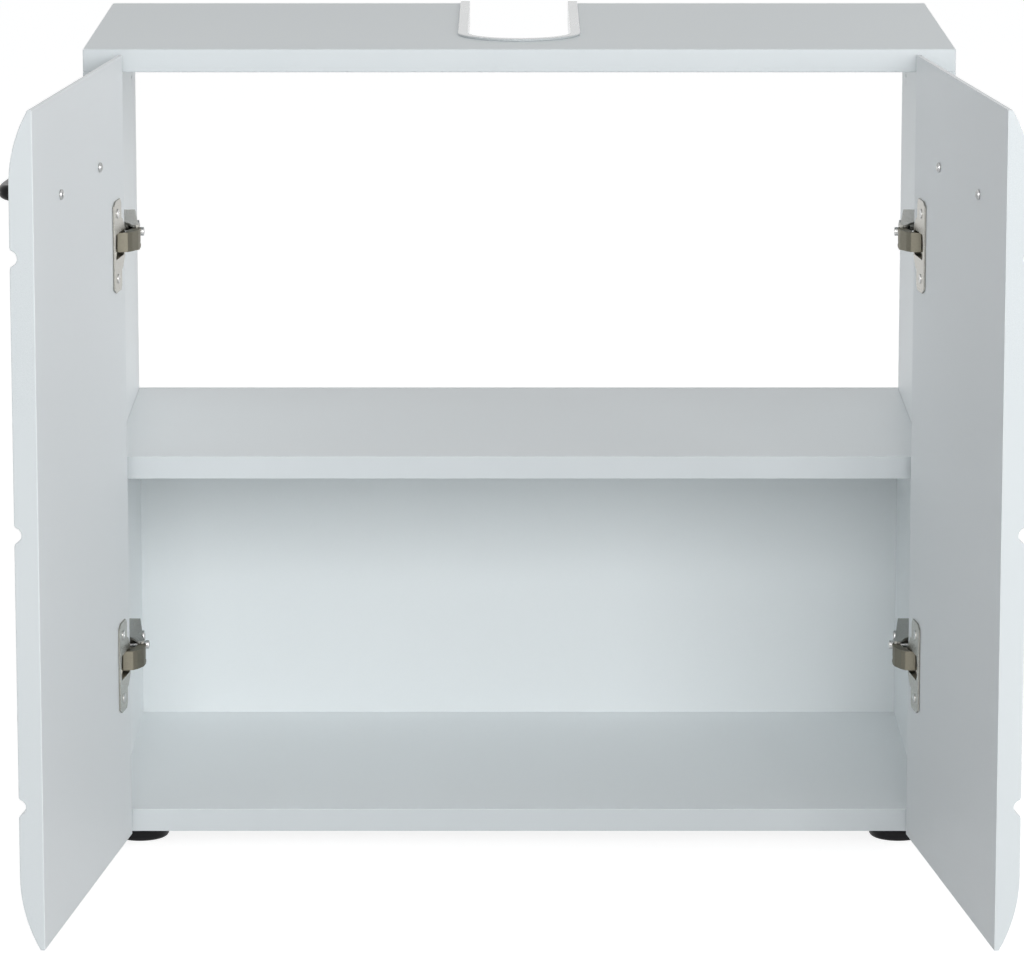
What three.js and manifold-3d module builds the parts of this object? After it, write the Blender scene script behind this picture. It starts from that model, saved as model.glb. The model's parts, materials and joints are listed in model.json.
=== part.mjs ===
// Washbasin base cabinet with two doors, standing open as in a product view.
// Millimetres. +Z is up, the open front faces -Y, and the floor is z = 0.
// The origin lies on the floor in the middle of the footprint with the doors open.
import * as THREE from 'three';
import { mergeVertices } from 'three/addons/utils/BufferGeometryUtils.js';
import Module from 'manifold-3d';

const wasm = await Module();
wasm.setup();

// Carcass
const width = 600;
const depth = 290;
const bodyHeight = 554;
const board = 16;
const footHeight = 16;
const shelfDrop = 289;          // body top to shelf top
const shelfSetback = 21;
const backThickness = 3;

// Feet
const footTopR = 23;
const footBottomR = 20;
const footInsetX = 30;
const footInsetY = 50;
const footScrewR = 5;
const footScrewDepth = 9;

// Siphon cut-out and its edging
const trimInnerR = 36;
const trimWall = 1.2;
const trimFit = 0.3;
const trimLipR = 43;
const trimLip = 1.6;
const trimFront = 53;           // front edge of the top to the clear opening
const cutR = trimInnerR + trimWall + trimFit;

// Doors
const doorReveal = 1.5;
const doorAir = 1.5;            // closed door to the front edges of the carcass
const doorTopDrop = 3;
const doorThickness = 16;
const doorEdge = 3;             // thickness left at the curved ends
const doorEndR = 100;
const doorWidth = width / 2 - 2 * doorReveal;
const doorHeight = bodyHeight - doorTopDrop;
const grooveWidth = 10.8;
const grooveDepth = 4.7;
const grooveSpacing = 180;
const grooveEase = 1.6;

// Opening: the angle shown, and how far the main link turns for each degree of door
const openAngle = 97.1;
const linkTurn = 0.389;

// Concealed hinge, in plan: x from the inner face of the side, y from the front edge
const hingeFromEnd = 128;
const cupR = 17.2;
const cupDepth = 12.8;
const cupCentreU = 22.5;        // cup centre from the hinged edge of the door
const cupFlange = 1.1;
const cupFlangeR = 19.6;
const flangeNearU = 17;
const flangeFarU = 42;
const flangeHalfZ = 31.7;
const flangeCut = 6;            // corners cut off at the far edge
const flangeEase = 3;           // and at the near edge
const cupScrewU = 30;
const cupScrewZ = 22.5;
const cupScrewR = 2.1;
const cupFloor = 0.6;
const cupMouthZ = 8.7;
const cupWall = 1.1;
const pinR = 1.1;
const axleR = 1.5;
const eyeR = 2.9;
const eyeGap = 0.4;
const mainPivot = [19.34, 3.33];
const mainCupPin = [10.45, 4.15];     // u from the hinged edge, v into the door
const guidePivot = [18.737, 9.641];
const linkHalf = 6.7;
const linkInner = 4.5;
const linkSheet = 1.2;
const guideHalf = 4;
const guideThick = 2.8;
const cheekInner = 7.2;
const cheekOuter = 8.8;
const armSheet = 1.5;
const armRear = [13.5, 75];           // outer corner of the top sheet at the rear
const armFront = [19.6, 14];          // and where the cheeks take over
const armFoot = 4;
const plateBase = 3.6;
const plateFrontY = 20;
const plateCoreY = 34;
const plateWing = 2.2;
const plateWingY = 37;
const plateWingZ = 24;
const plateWingHalf = 7;
const plateScrewZ = 16;
const plateScrewR = 2.6;
const clampY = 57;
const clampSeat = 16;                 // underside of the head from the inner face
const clampHead = 2.2;
const clampHeadR = 4;
const clampShankR = 2.5;
const clampTip = 3;
const adjusterY = 30;
const adjusterTop = 23.1;
const adjusterHead = 3;
const adjusterHeadR = 3;
const adjusterShankR = 2;
const adjusterTip = 4.2;

// Handle
const handleSpan = 128;         // between the two screws
const handleDrop = 66;
const handleReach = 29;
const handleTall = 13.5;        // at the feet
const handleTaper = 0.36;       // share of the height lost at the crown
const handleThick = 9;
const handleStem = 6;
const handleShoulder = 18;
const handleCrown = 0.6;
const handleScrewR = 2;
const handleScrewHeadR = 3.4;
const handleScrewHead = 2.2;
const handleScrewGrip = 10;

// Carcass fittings
const fit = 0.3;
const camR = 7.5;
const camDepth = 12.4;
const camDrop = 34;             // underside of the top to the cam centre
const camBoltR = 3;
const camBoltInTop = 10;
const fittingInset = 37;        // front and rear rows, from the edges of the boards
const carcassScrewHeadR = 4.8;
const carcassScrewHead = 4;
const carcassScrewR = 3.2;
const carcassScrewLength = 50;

// Derived positions
const floorToBody = footHeight;
const topZ = floorToBody + bodyHeight;
const sideBottomZ = floorToBody + board;
const sideTopZ = topZ - board;
const shelfZ = topZ - shelfDrop;
const innerX = width / 2 - board;
const open = THREE.MathUtils.degToRad(openAngle);
const turn = (x, y, a) => [
  x * Math.cos(a) - y * Math.sin(a),
  x * Math.sin(a) + y * Math.cos(a),
];
// Left door in plan: the cup pin rides on the main link while the door turns the other way.
const closedEdge = [-board + doorReveal, -doorAir];
const closedPin = [closedEdge[0] + mainCupPin[0], closedEdge[1] - mainCupPin[1]];
const openPinArm = turn(closedPin[0] - mainPivot[0], closedPin[1] - mainPivot[1], linkTurn * open);
const openPin = [mainPivot[0] + openPinArm[0], mainPivot[1] + openPinArm[1]];
const pinToEdge = turn(-mainCupPin[0], mainCupPin[1], -open);
const openEdge = [openPin[0] + pinToEdge[0], openPin[1] + pinToEdge[1]];
// A point of the open door in plan, from its door coordinates
const onOpenDoor = (u, v) => {
  const [x, y] = turn(u, -v, -open);
  return [openEdge[0] + x, openEdge[1] + y];
};
const freeEdgeY = openEdge[1] - doorWidth * Math.sin(open);
const rearY = depth + backThickness;
const shiftY = -(freeEdgeY + rearY) / 2;

// Materials
const paint = (color, roughness, metalness = 0) =>
  () => new THREE.MeshStandardMaterial({ color, roughness, metalness });
const whiteBoard = paint(0xe4e7ea, 0.35);
const whiteFront = paint(0xe6eaee, 0.22);
const hardboard = paint(0xdfe2e4, 0.5);
const blackPlastic = paint(0x17181a, 0.45);
const blackMetal = paint(0x141415, 0.35, 0.4);
const whitePlastic = paint(0xd9dcdd, 0.3);
const nickel = paint(0x9d9788, 0.32, 1);
const zinc = paint(0xb4b6b8, 0.35, 1);

// Solids
function solid(geometry) {
  const bare = geometry.clone();
  bare.deleteAttribute('normal');
  bare.deleteAttribute('uv');
  const merged = mergeVertices(bare, 1e-4);
  return new wasm.Manifold(new wasm.Mesh({
    numProp: 3,
    vertProperties: Float32Array.from(merged.attributes.position.array),
    triVerts: Uint32Array.from(merged.index.array),
  }));
}

function geometryOf(body) {
  const mesh = body.asOriginal().simplify(0.02).getMesh();
  const geometry = new THREE.BufferGeometry();
  geometry.setAttribute('position', new THREE.BufferAttribute(mesh.vertProperties, 3));
  geometry.setIndex(new THREE.BufferAttribute(mesh.triVerts, 1));
  geometry.computeVertexNormals();
  return geometry;
}

function joined(parts) {
  return parts.reduce((sum, next) => sum.add(next));
}

function cut(body, tools) {
  return tools.reduce((rest, tool) => rest.subtract(tool), body);
}

function block(x0, x1, y0, y1, z0, z1) {
  const box = new THREE.BoxGeometry(x1 - x0, y1 - y0, z1 - z0);
  return solid(box.translate((x0 + x1) / 2, (y0 + y1) / 2, (z0 + z1) / 2));
}

// Prism of a plan outline along z
function prismZ(shape, z0, z1, curveSegments = 3) {
  const geometry = new THREE.ExtrudeGeometry(shape, {
    depth: z1 - z0, bevelEnabled: false, curveSegments,
  });
  return solid(geometry.translate(0, 0, z0));
}

// Prism of a (y, z) outline along x
function prismX(shape, x0, x1) {
  const geometry = new THREE.ExtrudeGeometry(shape, { depth: x1 - x0, bevelEnabled: false });
  const axes = new THREE.Matrix4().makeBasis(
    new THREE.Vector3(0, 1, 0), new THREE.Vector3(0, 0, 1), new THREE.Vector3(1, 0, 0));
  return solid(geometry.applyMatrix4(axes).translate(x0, 0, 0));
}

function outline(points) {
  return new THREE.Shape(points.map(([x, y]) => new THREE.Vector2(x, y)));
}

function rod(r, from, to, sides = 10) {
  const a = new THREE.Vector3(...from);
  const b = new THREE.Vector3(...to);
  const geometry = new THREE.CylinderGeometry(r, r, a.distanceTo(b), sides);
  const way = b.clone().sub(a).normalize();
  geometry.applyQuaternion(new THREE.Quaternion().setFromUnitVectors(
    new THREE.Vector3(0, 1, 0), way));
  const mid = a.add(b).multiplyScalar(0.5);
  return solid(geometry.translate(mid.x, mid.y, mid.z));
}

// Turned piece: profile of [radius, height] pairs from axis to axis, along +way from a point
function turned(profile, at, way, sides = 14) {
  const geometry = new THREE.LatheGeometry(
    profile.map(([r, h]) => new THREE.Vector2(r, h)), sides);
  geometry.applyQuaternion(new THREE.Quaternion().setFromUnitVectors(
    new THREE.Vector3(0, 1, 0), new THREE.Vector3(...way)));
  return solid(geometry.translate(...at));
}

// Straight bar with round ends between two plan points
function strap(p, q, r, z0, z1) {
  const a = Math.atan2(q[1] - p[1], q[0] - p[0]);
  const shape = new THREE.Shape();
  shape.absarc(p[0], p[1], r, a + Math.PI / 2, a + 1.5 * Math.PI, false);
  shape.absarc(q[0], q[1], r, a - Math.PI / 2, a + Math.PI / 2, false);
  return prismZ(shape, z0, z1, 2);
}

const model = new THREE.Group();
model.position.set(0, shiftY, 0);

function place(name, body, material, parent = model) {
  const mesh = new THREE.Mesh(geometryOf(body), material());
  mesh.name = name;
  parent.add(mesh);
  return mesh;
}

// Hinge plan points are for the left side; side = -1 is left, +1 is right.
const planX = (side, x) => side * (innerX - x);

// Carcass boards
function cutOutShape(r, front, rear) {
  const shape = new THREE.Shape();
  shape.moveTo(r, rear);
  shape.lineTo(-r, rear);
  shape.lineTo(-r, front + r);
  shape.absarc(0, front + r, r, Math.PI, 2 * Math.PI, false);
  shape.lineTo(r, rear);
  return shape;
}

const sideMidX = width / 2 - board / 2;
const fittingRows = { front: fittingInset, rear: depth - fittingInset };

function topPanel() {
  const cutFront = trimFront + trimInnerR - cutR;
  const tools = [prismZ(cutOutShape(cutR, cutFront, depth + 5), sideTopZ - 5, topZ + 5, 14)];
  for (const side of [-1, 1]) {
    const x = side * sideMidX;
    for (const y of Object.values(fittingRows)) {
      tools.push(rod(camBoltR + fit, [x, y, sideTopZ - 1], [x, y, sideTopZ + camBoltInTop + fit]));
    }
  }
  return cut(block(-width / 2, width / 2, 0, depth, sideTopZ, topZ), tools);
}

function sidePanel(side) {
  const x0 = side * innerX;
  const x1 = side * width / 2;
  const x = side * sideMidX;
  const tools = [];
  for (const y of Object.values(fittingRows)) {
    const camZ = sideTopZ - camDrop;
    tools.push(rod(camR + fit, [x0 - side, y, camZ], [x0 + side * (camDepth + fit), y, camZ], 16));
    tools.push(rod(camBoltR + fit, [x, y, sideTopZ + 1], [x, y, camZ]));
    tools.push(rod(carcassScrewR + fit, [x, y, sideBottomZ - 1],
      [x, y, floorToBody + carcassScrewLength + fit]));
  }
  return cut(block(Math.min(x0, x1), Math.max(x0, x1), 0, depth, sideBottomZ, sideTopZ), tools);
}

function bottomPanel() {
  const tools = [];
  for (const side of [-1, 1]) {
    const x = side * sideMidX;
    for (const y of Object.values(fittingRows)) {
      tools.push(rod(carcassScrewR + fit, [x, y, floorToBody - 1], [x, y, sideBottomZ + 1]));
      tools.push(rod(carcassScrewHeadR + fit, [x, y, floorToBody - 1],
        [x, y, floorToBody + carcassScrewHead + fit]));
    }
  }
  return cut(block(-width / 2, width / 2, 0, depth, floorToBody, sideBottomZ), tools);
}

place('top_panel', topPanel(), whiteBoard);
place('left_side_panel', sidePanel(-1), whiteBoard);
place('right_side_panel', sidePanel(1), whiteBoard);
place('bottom_panel', bottomPanel(), whiteBoard);
place('shelf', block(-innerX, innerX, shelfSetback, depth, shelfZ - board, shelfZ), whiteBoard);
place('back_panel', block(-width / 2, width / 2, depth, rearY, floorToBody, shelfZ), hardboard);

// Edging of the siphon cut-out: a thin wall down the cut and a lip on the top face
function cutOutTrim() {
  const ring = (r, z0, z1) => prismZ(
    cutOutShape(r, trimFront + trimInnerR - r, depth), z0, z1, 14);
  const lip = ring(trimLipR, topZ, topZ + trimLip);
  const wall = ring(trimInnerR + trimWall, sideTopZ, topZ + trimLip / 2);
  const hole = prismZ(cutOutShape(trimInnerR, trimFront, depth + 5), sideTopZ - 5, topZ + 9, 14);
  return joined([lip, wall]).subtract(hole);
}
place('cutout_trim', cutOutTrim(), whitePlastic);

// Feet: tapered moulded pads with a screw recess from below
function foot(x, y) {
  const profile = [
    [0, footScrewDepth], [footScrewR, footScrewDepth], [footScrewR, 0],
    [footBottomR - 3, 0], [footBottomR - 0.9, 0.9], [footBottomR, 3],
    [footTopR - 0.6, footHeight - 2.5], [footTopR, footHeight - 1], [footTopR, footHeight],
    [0, footHeight],
  ];
  return turned(profile, [x, y, 0], [0, 1, 0], 16);
}
function uprightFoot(x, y) {
  return foot(0, 0).transform([
    1, 0, 0, 0, 0, 0, 1, 0, 0, -1, 0, 0, x, y, 0, 1]);
}
const footRows = { front: footInsetY, rear: depth - footInsetY };
for (const [row, y] of Object.entries(footRows)) {
  place(`foot_${row}_left`, uprightFoot(-(width / 2 - footInsetX), y), blackPlastic);
  place(`foot_${row}_right`, uprightFoot(width / 2 - footInsetX, y), blackPlastic);
}

// Hidden fittings that hold the carcass together
function camDisc(side, y) {
  const z = sideTopZ - camDrop;
  const x0 = side * innerX;
  const disc = rod(camR, [x0, y, z], [x0 + side * camDepth, y, z], 16);
  const slot = block(-1.1, 1.1, -5, 5, -1.1, 1.1);
  const bolt = rod(camBoltR + fit, [side * sideMidX, y, z + camR + 1], [side * sideMidX, y, z]);
  return cut(disc, [slot.translate([x0, y, z]), bolt]);
}

function camBolt(side, y) {
  const z0 = sideTopZ - camDrop + fit;
  const top = sideTopZ + camBoltInTop;
  return turned([
    [0, 0], [camBoltR, 0], [camBoltR, 2.6], [camBoltR - 1, 3.4], [camBoltR - 1, 7],
    [camBoltR, 8], [camBoltR, top - z0], [0, top - z0],
  ], [side * sideMidX, y, z0], [0, 0, 1], 10);
}

function carcassScrew(side, y) {
  return turned([
    [0, carcassScrewHead - 1.6], [1.8, carcassScrewHead - 1.6], [1.8, 0.6], [carcassScrewHeadR, 0.6],
    [carcassScrewHeadR, 1.6], [carcassScrewR, carcassScrewHead], [carcassScrewR, carcassScrewLength - 3],
    [carcassScrewR - 1.8, carcassScrewLength], [0, carcassScrewLength],
  ], [side * sideMidX, y, floorToBody], [0, 0, 1], 10);
}

for (const [hand, side] of [['left', -1], ['right', 1]]) {
  for (const [row, y] of Object.entries(fittingRows)) {
    place(`cam_${row}_${hand}`, camDisc(side, y), whitePlastic);
    place(`cam_bolt_${row}_${hand}`, camBolt(side, y), zinc);
    place(`carcass_screw_${row}_${hand}`, carcassScrew(side, y), zinc);
  }
}

// Hinge pieces fixed to the side panel. The arm is a pressed channel: two cheeks that carry
// the pivots, and a sloping top sheet that ends behind the links.
const armNose = [
  [21.2, 9], [21.5, 4], [20.6, 1.4], [19.2, 0.6], [17.4, 1.2], [15.8, 3.4], [14, 9], [9, 18],
  [armFoot, 24],
];
const armSlope = (armFront[0] - armRear[0]) / (armRear[1] - armFront[1]);
const armTopAt = (y) => armRear[0] + (armRear[1] - y) * armSlope;

function hingeArm(side, z) {
  const at = ([x, y]) => [planX(side, x), y];
  const cheekShape = outline([[armFoot, armRear[1]], armRear, armFront, ...armNose].map(at));
  const sheetEnd = armFront[1] + 1.2;
  const sheetShape = outline([
    [armRear[0] - armSheet, armRear[1]], armRear, [armTopAt(sheetEnd), sheetEnd],
    [armTopAt(sheetEnd) - armSheet, sheetEnd],
  ].map(at));
  const pieces = [prismZ(sheetShape, z - cheekOuter, z + cheekOuter)];
  for (const way of [-1, 1]) {
    const faces = [z + way * cheekInner, z + way * cheekOuter];
    pieces.push(prismZ(cheekShape, Math.min(...faces), Math.max(...faces)));
  }
  const holes = [[clampY, clampShankR], [adjusterY, adjusterShankR]].map(([y, r]) => rod(
    r + fit, [planX(side, armFoot), y, z], [planX(side, armRear[0] + 12), y, z], 16));
  // The main axle is two stubs, so that the guide link can swing between them.
  const stubs = [-1, 1].map((way) => rod(
    axleR, [...at(mainPivot), z + way * (guideHalf + eyeGap)],
    [...at(mainPivot), z + way * cheekOuter], 16));
  const guideAxle = rod(
    axleR, [...at(guidePivot), z - cheekOuter], [...at(guidePivot), z + cheekOuter], 16);
  return joined([cut(joined(pieces), holes), ...stubs, guideAxle]);
}

function hingePlate(side, z) {
  const x = (v) => planX(side, v);
  const span = (a, b, y0, y1, z0, z1) => block(
    Math.min(x(a), x(b)), Math.max(x(a), x(b)), y0, y1, z0, z1);
  const wing = span(0, plateWing, plateWingY - plateWingHalf, plateWingY + plateWingHalf,
    z - plateWingZ, z + plateWingZ);
  const base = span(0, plateBase, plateFrontY, armRear[1] - 1, z - cheekOuter, z + cheekOuter);
  const core = span(0, armRear[0] - armSheet - fit, plateCoreY, armRear[1] - 2,
    z - cheekInner + fit, z + cheekInner - fit);
  const tools = [rod(clampShankR + fit, [x(clampTip - 1), clampY, z],
    [x(armRear[0] + 1), clampY, z], 16)];
  for (const way of [-1, 1]) {
    const hz = z + way * plateScrewZ;
    tools.push(rod(plateScrewR, [x(-1), plateWingY, hz], [x(plateBase + 1), plateWingY, hz], 14));
  }
  return cut(joined([wing, base, core]), tools);
}

function clampScrew(side, z) {
  const x = planX(side, clampSeat + clampHead);
  const tip = clampSeat + clampHead - clampTip;
  return turned([
    [0, 1.2], [1.4, 1.2], [1.4, 0], [clampHeadR - 0.5, 0], [clampHeadR, 0.6],
    [clampHeadR, clampHead], [clampShankR, clampHead], [clampShankR, tip], [0, tip],
  ], [x, clampY, z], [side, 0, 0], 10);
}

// Screw that sets the door sideways: it stands out of the top sheet near the links.
function adjustingScrew(side, z) {
  const tip = adjusterTop - adjusterTip;
  return turned([
    [0, 1.2], [1.2, 1.2], [1.2, 0], [adjusterHeadR - 0.4, 0], [adjusterHeadR, 0.4],
    [adjusterHeadR, adjusterHead], [adjusterShankR, adjusterHead], [adjusterShankR, tip],
    [0, tip],
  ], [planX(side, adjusterTop), adjusterY, z], [side, 0, 0], 10);
}

// Main link: two cheeks bent round the door edge, joined by a plate on the side that shows.
// Its plan is given as it stands with the door open at the design angle.
const mainBend = onOpenDoor(10.2, -3.6);
const mainPlate = [[21.7, -1.5], [20.8, -9], [17.2, -17], [14.5, -20.3], [8, -21.3]];
const mainEyeR = 2.3;
const mainBendR = 1.8;

function mainLink(side, z) {
  const at = ([x, y]) => [planX(side, x), y];
  const plate = (z0, z1) => mainPlate.slice(1).map((point, i) => strap(
    at(mainPlate[i]), at(point), linkSheet / 2, z0, z1));
  const cheek = (z0, z1) => joined([
    strap(at(mainPivot), at(mainBend), mainBendR, z0, z1),
    strap(at(mainBend), at(openPin), mainBendR, z0, z1),
    rod(mainEyeR, [...at(openPin), z0], [...at(openPin), z1], 10),
    rod(eyeR, [...at(mainPivot), z0], [...at(mainPivot), z1], 12),
    prismZ(outline([mainPivot, ...mainPlate, openPin, mainBend].map(at)), z0, z1),
    ...plate(z0, z1),
  ]);
  const body = joined([
    cheek(z - linkHalf, z - linkInner), cheek(z + linkInner, z + linkHalf),
    ...plate(z - linkHalf, z + linkHalf),
  ]);
  return cut(body, [
    rod(axleR + eyeGap, [...at(mainPivot), z - 9], [...at(mainPivot), z + 9], 12),
    rod(pinR + eyeGap, [...at(openPin), z - 9], [...at(openPin), z + 9], 10),
  ]);
}

// Guide link: a narrow bar between the cheeks of the main link; its cup end runs free.
const guideBend = onOpenDoor(8.756, -3.164);
const guideTip = onOpenDoor(10.004, 0.049);

function guideLink(side, z) {
  const at = ([x, y]) => [planX(side, x), y];
  const z0 = z - guideHalf;
  const z1 = z + guideHalf;
  const bar = joined([
    rod(eyeR, [...at(guidePivot), z0], [...at(guidePivot), z1], 12),
    strap(at(guidePivot), at(guideBend), guideThick / 2, z0, z1),
    strap(at(guideBend), at(guideTip), guideThick / 2, z0, z1),
  ]);
  return bar.subtract(rod(
    axleR + eyeGap, [...at(guidePivot), z0 - 1], [...at(guidePivot), z1 + 1], 16));
}

// Door pieces, in door coordinates: u from the hinged edge, v into the door, z up.
// The door group's x runs along +u for the left door and -u for the right one.
const hingeZ = { lower: floorToBody + hingeFromEnd, upper: floorToBody + doorHeight - hingeFromEnd };
const handleZ = floorToBody + doorHeight - handleDrop;
const handleU = [-1, 1].map((way) => doorWidth / 2 + way * handleSpan / 2);

function doorOutline() {
  const rise = doorThickness - doorEdge;
  const run = Math.sqrt(doorEndR ** 2 - (doorEndR - rise) ** 2);
  const points = [];
  const steps = 10;
  const face = (z) => doorThickness - doorEndR + Math.sqrt(doorEndR ** 2 - (run - z) ** 2);
  for (let i = 0; i <= steps; i += 1) {
    const z = run * i / steps;
    points.push([face(z), z]);
  }
  for (const k of [-1, 0, 1]) {
    const mid = doorHeight / 2 + k * grooveSpacing;
    const half = grooveWidth / 2;
    const r = (half ** 2 + grooveDepth ** 2) / (2 * grooveDepth);
    points.push([doorThickness, mid - half - grooveEase]);
    const arc = 8;
    for (let i = 0; i <= arc; i += 1) {
      const z = half * (2 * i / arc - 1);
      const drop = Math.sqrt(r ** 2 - z ** 2) - (r - grooveDepth);
      const eased = Math.max(drop, i === 0 || i === arc ? 0.5 : 0);
      points.push([doorThickness - eased, mid + z]);
    }
    points.push([doorThickness, mid + half + grooveEase]);
  }
  for (let i = steps; i >= 0; i -= 1) {
    const z = run * i / steps;
    points.push([face(z), doorHeight - z]);
  }
  points.push([0, doorHeight], [0, 0]);
  return outline(points.map(([v, z]) => [-v, floorToBody + z]));
}

function doorBoard(way) {
  const x = (u) => way * u;
  const tools = [];
  for (const z of Object.values(hingeZ)) {
    tools.push(rod(cupR + fit, [x(cupCentreU), 1, z], [x(cupCentreU), -cupDepth - fit, z], 24));
  }
  for (const u of handleU) {
    tools.push(rod(handleScrewR + fit, [x(u), 1, handleZ], [x(u), -doorThickness - 1, handleZ], 14));
  }
  const slab = prismX(doorOutline(), Math.min(0, x(doorWidth)), Math.max(0, x(doorWidth)));
  return cut(slab, tools);
}

function hingeCup(way, z) {
  const x = (u) => way * u;
  const disc = new THREE.Shape();
  disc.absarc(x(cupCentreU), 0, cupFlangeR, 0, 2 * Math.PI, false);
  const halfPlan = [
    [flangeNearU, flangeHalfZ - flangeEase], [flangeNearU + flangeEase, flangeHalfZ],
    [flangeFarU - flangeCut, flangeHalfZ], [flangeFarU, flangeHalfZ - flangeCut / 2],
  ];
  const plate = outline([
    ...halfPlan.map(([u, h]) => [x(u), h]), ...halfPlan.reverse().map(([u, h]) => [x(u), -h]),
  ]);
  const face = fit;
  const pressed = (shape) => {
    const geometry = new THREE.ExtrudeGeometry(shape, {
      depth: cupFlange, bevelEnabled: false, curveSegments: 6,
    });
    const axes = new THREE.Matrix4().makeBasis(
      new THREE.Vector3(1, 0, 0), new THREE.Vector3(0, 0, 1), new THREE.Vector3(0, -1, 0));
    return solid(geometry.applyMatrix4(axes).translate(0, face + cupFlange, z));
  };
  const bowl = rod(cupR, [x(cupCentreU), face + cupFlange, z], [x(cupCentreU), -cupDepth, z], 24);
  const mouth = rod(cupR - cupWall, [x(cupCentreU), 5, z],
    [x(cupCentreU), -cupDepth + cupFloor, z], 24)
    .intersect(block(x(cupCentreU) - cupR, x(cupCentreU) + cupR, -cupDepth - 1, 6,
      z - cupMouthZ, z + cupMouthZ));
  const screws = [-1, 1].map((k) => rod(cupScrewR, [x(cupScrewU), 5, z + k * cupScrewZ],
    [x(cupScrewU), -1, z + k * cupScrewZ], 14));
  const pins = [-1, 1].map((k) => rod(
    pinR, [x(mainCupPin[0]), -mainCupPin[1], z + k * (guideHalf + eyeGap)],
    [x(mainCupPin[0]), -mainCupPin[1], z + k * (cupMouthZ + 0.8)], 14));
  return joined([cut(joined([pressed(disc), pressed(plate), bowl]), [mouth, ...screws]), ...pins]);
}

function handle(way) {
  const y0 = -doorThickness - fit;
  const y1 = y0 - handleReach + handleThick / 2;
  const [u0, u1] = handleU;
  const path = new THREE.CatmullRomCurve3([
    [u0, y0], [u0, y0 - handleStem], [u0 + handleShoulder / 4, y1 + handleShoulder / 4],
    [u0 + handleShoulder, y1 + handleCrown], [(u0 + u1) / 2, y1],
    [u1 - handleShoulder, y1 + handleCrown], [u1 - handleShoulder / 4, y1 + handleShoulder / 4],
    [u1, y0 - handleStem], [u1, y0],
  ].map(([u, y]) => new THREE.Vector3(way * u, y, handleZ)), false, 'centripetal');
  const section = new THREE.Shape();
  section.absellipse(0, 0, handleTall / 2, handleThick / 2, 0, 2 * Math.PI, false);
  const bow = new THREE.ExtrudeGeometry(section, {
    steps: 20, extrudePath: path, curveSegments: 6, bevelEnabled: false,
  });
  const point = bow.attributes.position;
  for (let i = 0; i < point.count; i += 1) {
    const rise = Math.min((y0 - point.getY(i)) / handleReach, 1);
    point.setZ(i, handleZ + (point.getZ(i) - handleZ) * (1 - handleTaper * rise));
  }
  const body = solid(bow);
  const bores = handleU.map((u) => rod(handleScrewR + fit, [way * u, y0 + 1, handleZ],
    [way * u, y0 - handleScrewGrip, handleZ], 14));
  return cut(body, bores);
}

function handleScrew(way, u) {
  const length = doorThickness + handleScrewGrip - 1;
  const top = handleScrewHead + fit;
  return turned([
    [0, 0.9], [1.1, 0.9], [1.3, 0.1], [handleScrewHeadR - 1.4, 0],
    [handleScrewHeadR - 0.6, 0.4], [handleScrewHeadR, 1.2],
    [handleScrewHeadR, handleScrewHead], [handleScrewR, handleScrewHead],
    [handleScrewR, length], [0, length],
  ], [way * u, top, handleZ], [0, -1, 0], 12);
}

for (const [hand, side] of [['left', -1], ['right', 1]]) {
  const way = -side;
  const door = new THREE.Group();
  door.position.set(planX(side, openEdge[0]), openEdge[1], 0);
  door.rotation.z = side * open;
  model.add(door);
  place(`${hand}_door`, doorBoard(way), whiteFront, door);
  place(`${hand}_handle`, handle(way), blackMetal, door);
  place(`${hand}_handle_screw_inner`, handleScrew(way, handleU[0]), zinc, door);
  place(`${hand}_handle_screw_outer`, handleScrew(way, handleU[1]), zinc, door);
  for (const [level, z] of Object.entries(hingeZ)) {
    place(`${hand}_${level}_hinge_cup`, hingeCup(way, z), nickel, door);
    place(`${hand}_${level}_hinge_link`, mainLink(side, z), nickel);
    place(`${hand}_${level}_hinge_guide_link`, guideLink(side, z), nickel);
    place(`${hand}_${level}_hinge_arm`, hingeArm(side, z), nickel);
    place(`${hand}_${level}_hinge_plate`, hingePlate(side, z), nickel);
    place(`${hand}_${level}_hinge_screw`, clampScrew(side, z), zinc);
    place(`${hand}_${level}_hinge_adjuster`, adjustingScrew(side, z), zinc);
  }
}

export default model;
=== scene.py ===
# Washbasin base cabinet with open doors: finishes, small fittings, light and camera.
import json
import math

import bmesh
import bpy
from mathutils import Matrix, Vector

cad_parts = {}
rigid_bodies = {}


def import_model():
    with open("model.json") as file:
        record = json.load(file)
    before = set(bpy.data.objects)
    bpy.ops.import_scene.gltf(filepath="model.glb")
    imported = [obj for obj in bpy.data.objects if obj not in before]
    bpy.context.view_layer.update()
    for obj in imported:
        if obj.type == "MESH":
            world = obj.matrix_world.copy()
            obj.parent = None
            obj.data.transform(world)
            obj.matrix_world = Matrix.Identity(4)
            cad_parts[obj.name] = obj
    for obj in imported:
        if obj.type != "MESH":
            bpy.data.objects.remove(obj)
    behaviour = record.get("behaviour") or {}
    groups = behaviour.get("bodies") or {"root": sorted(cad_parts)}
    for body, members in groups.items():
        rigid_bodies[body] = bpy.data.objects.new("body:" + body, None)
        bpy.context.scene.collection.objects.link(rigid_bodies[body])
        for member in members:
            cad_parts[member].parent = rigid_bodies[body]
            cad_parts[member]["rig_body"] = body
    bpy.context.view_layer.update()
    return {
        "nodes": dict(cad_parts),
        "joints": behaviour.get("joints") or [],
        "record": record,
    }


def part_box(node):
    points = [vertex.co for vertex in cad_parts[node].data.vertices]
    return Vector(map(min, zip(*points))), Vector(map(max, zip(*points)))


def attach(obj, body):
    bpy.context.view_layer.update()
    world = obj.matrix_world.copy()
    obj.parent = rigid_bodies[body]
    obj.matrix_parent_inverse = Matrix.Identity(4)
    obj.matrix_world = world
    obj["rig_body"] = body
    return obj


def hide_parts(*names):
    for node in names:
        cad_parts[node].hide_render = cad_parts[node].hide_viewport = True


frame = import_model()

mm = 0.001
nodes = frame["nodes"]
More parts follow.
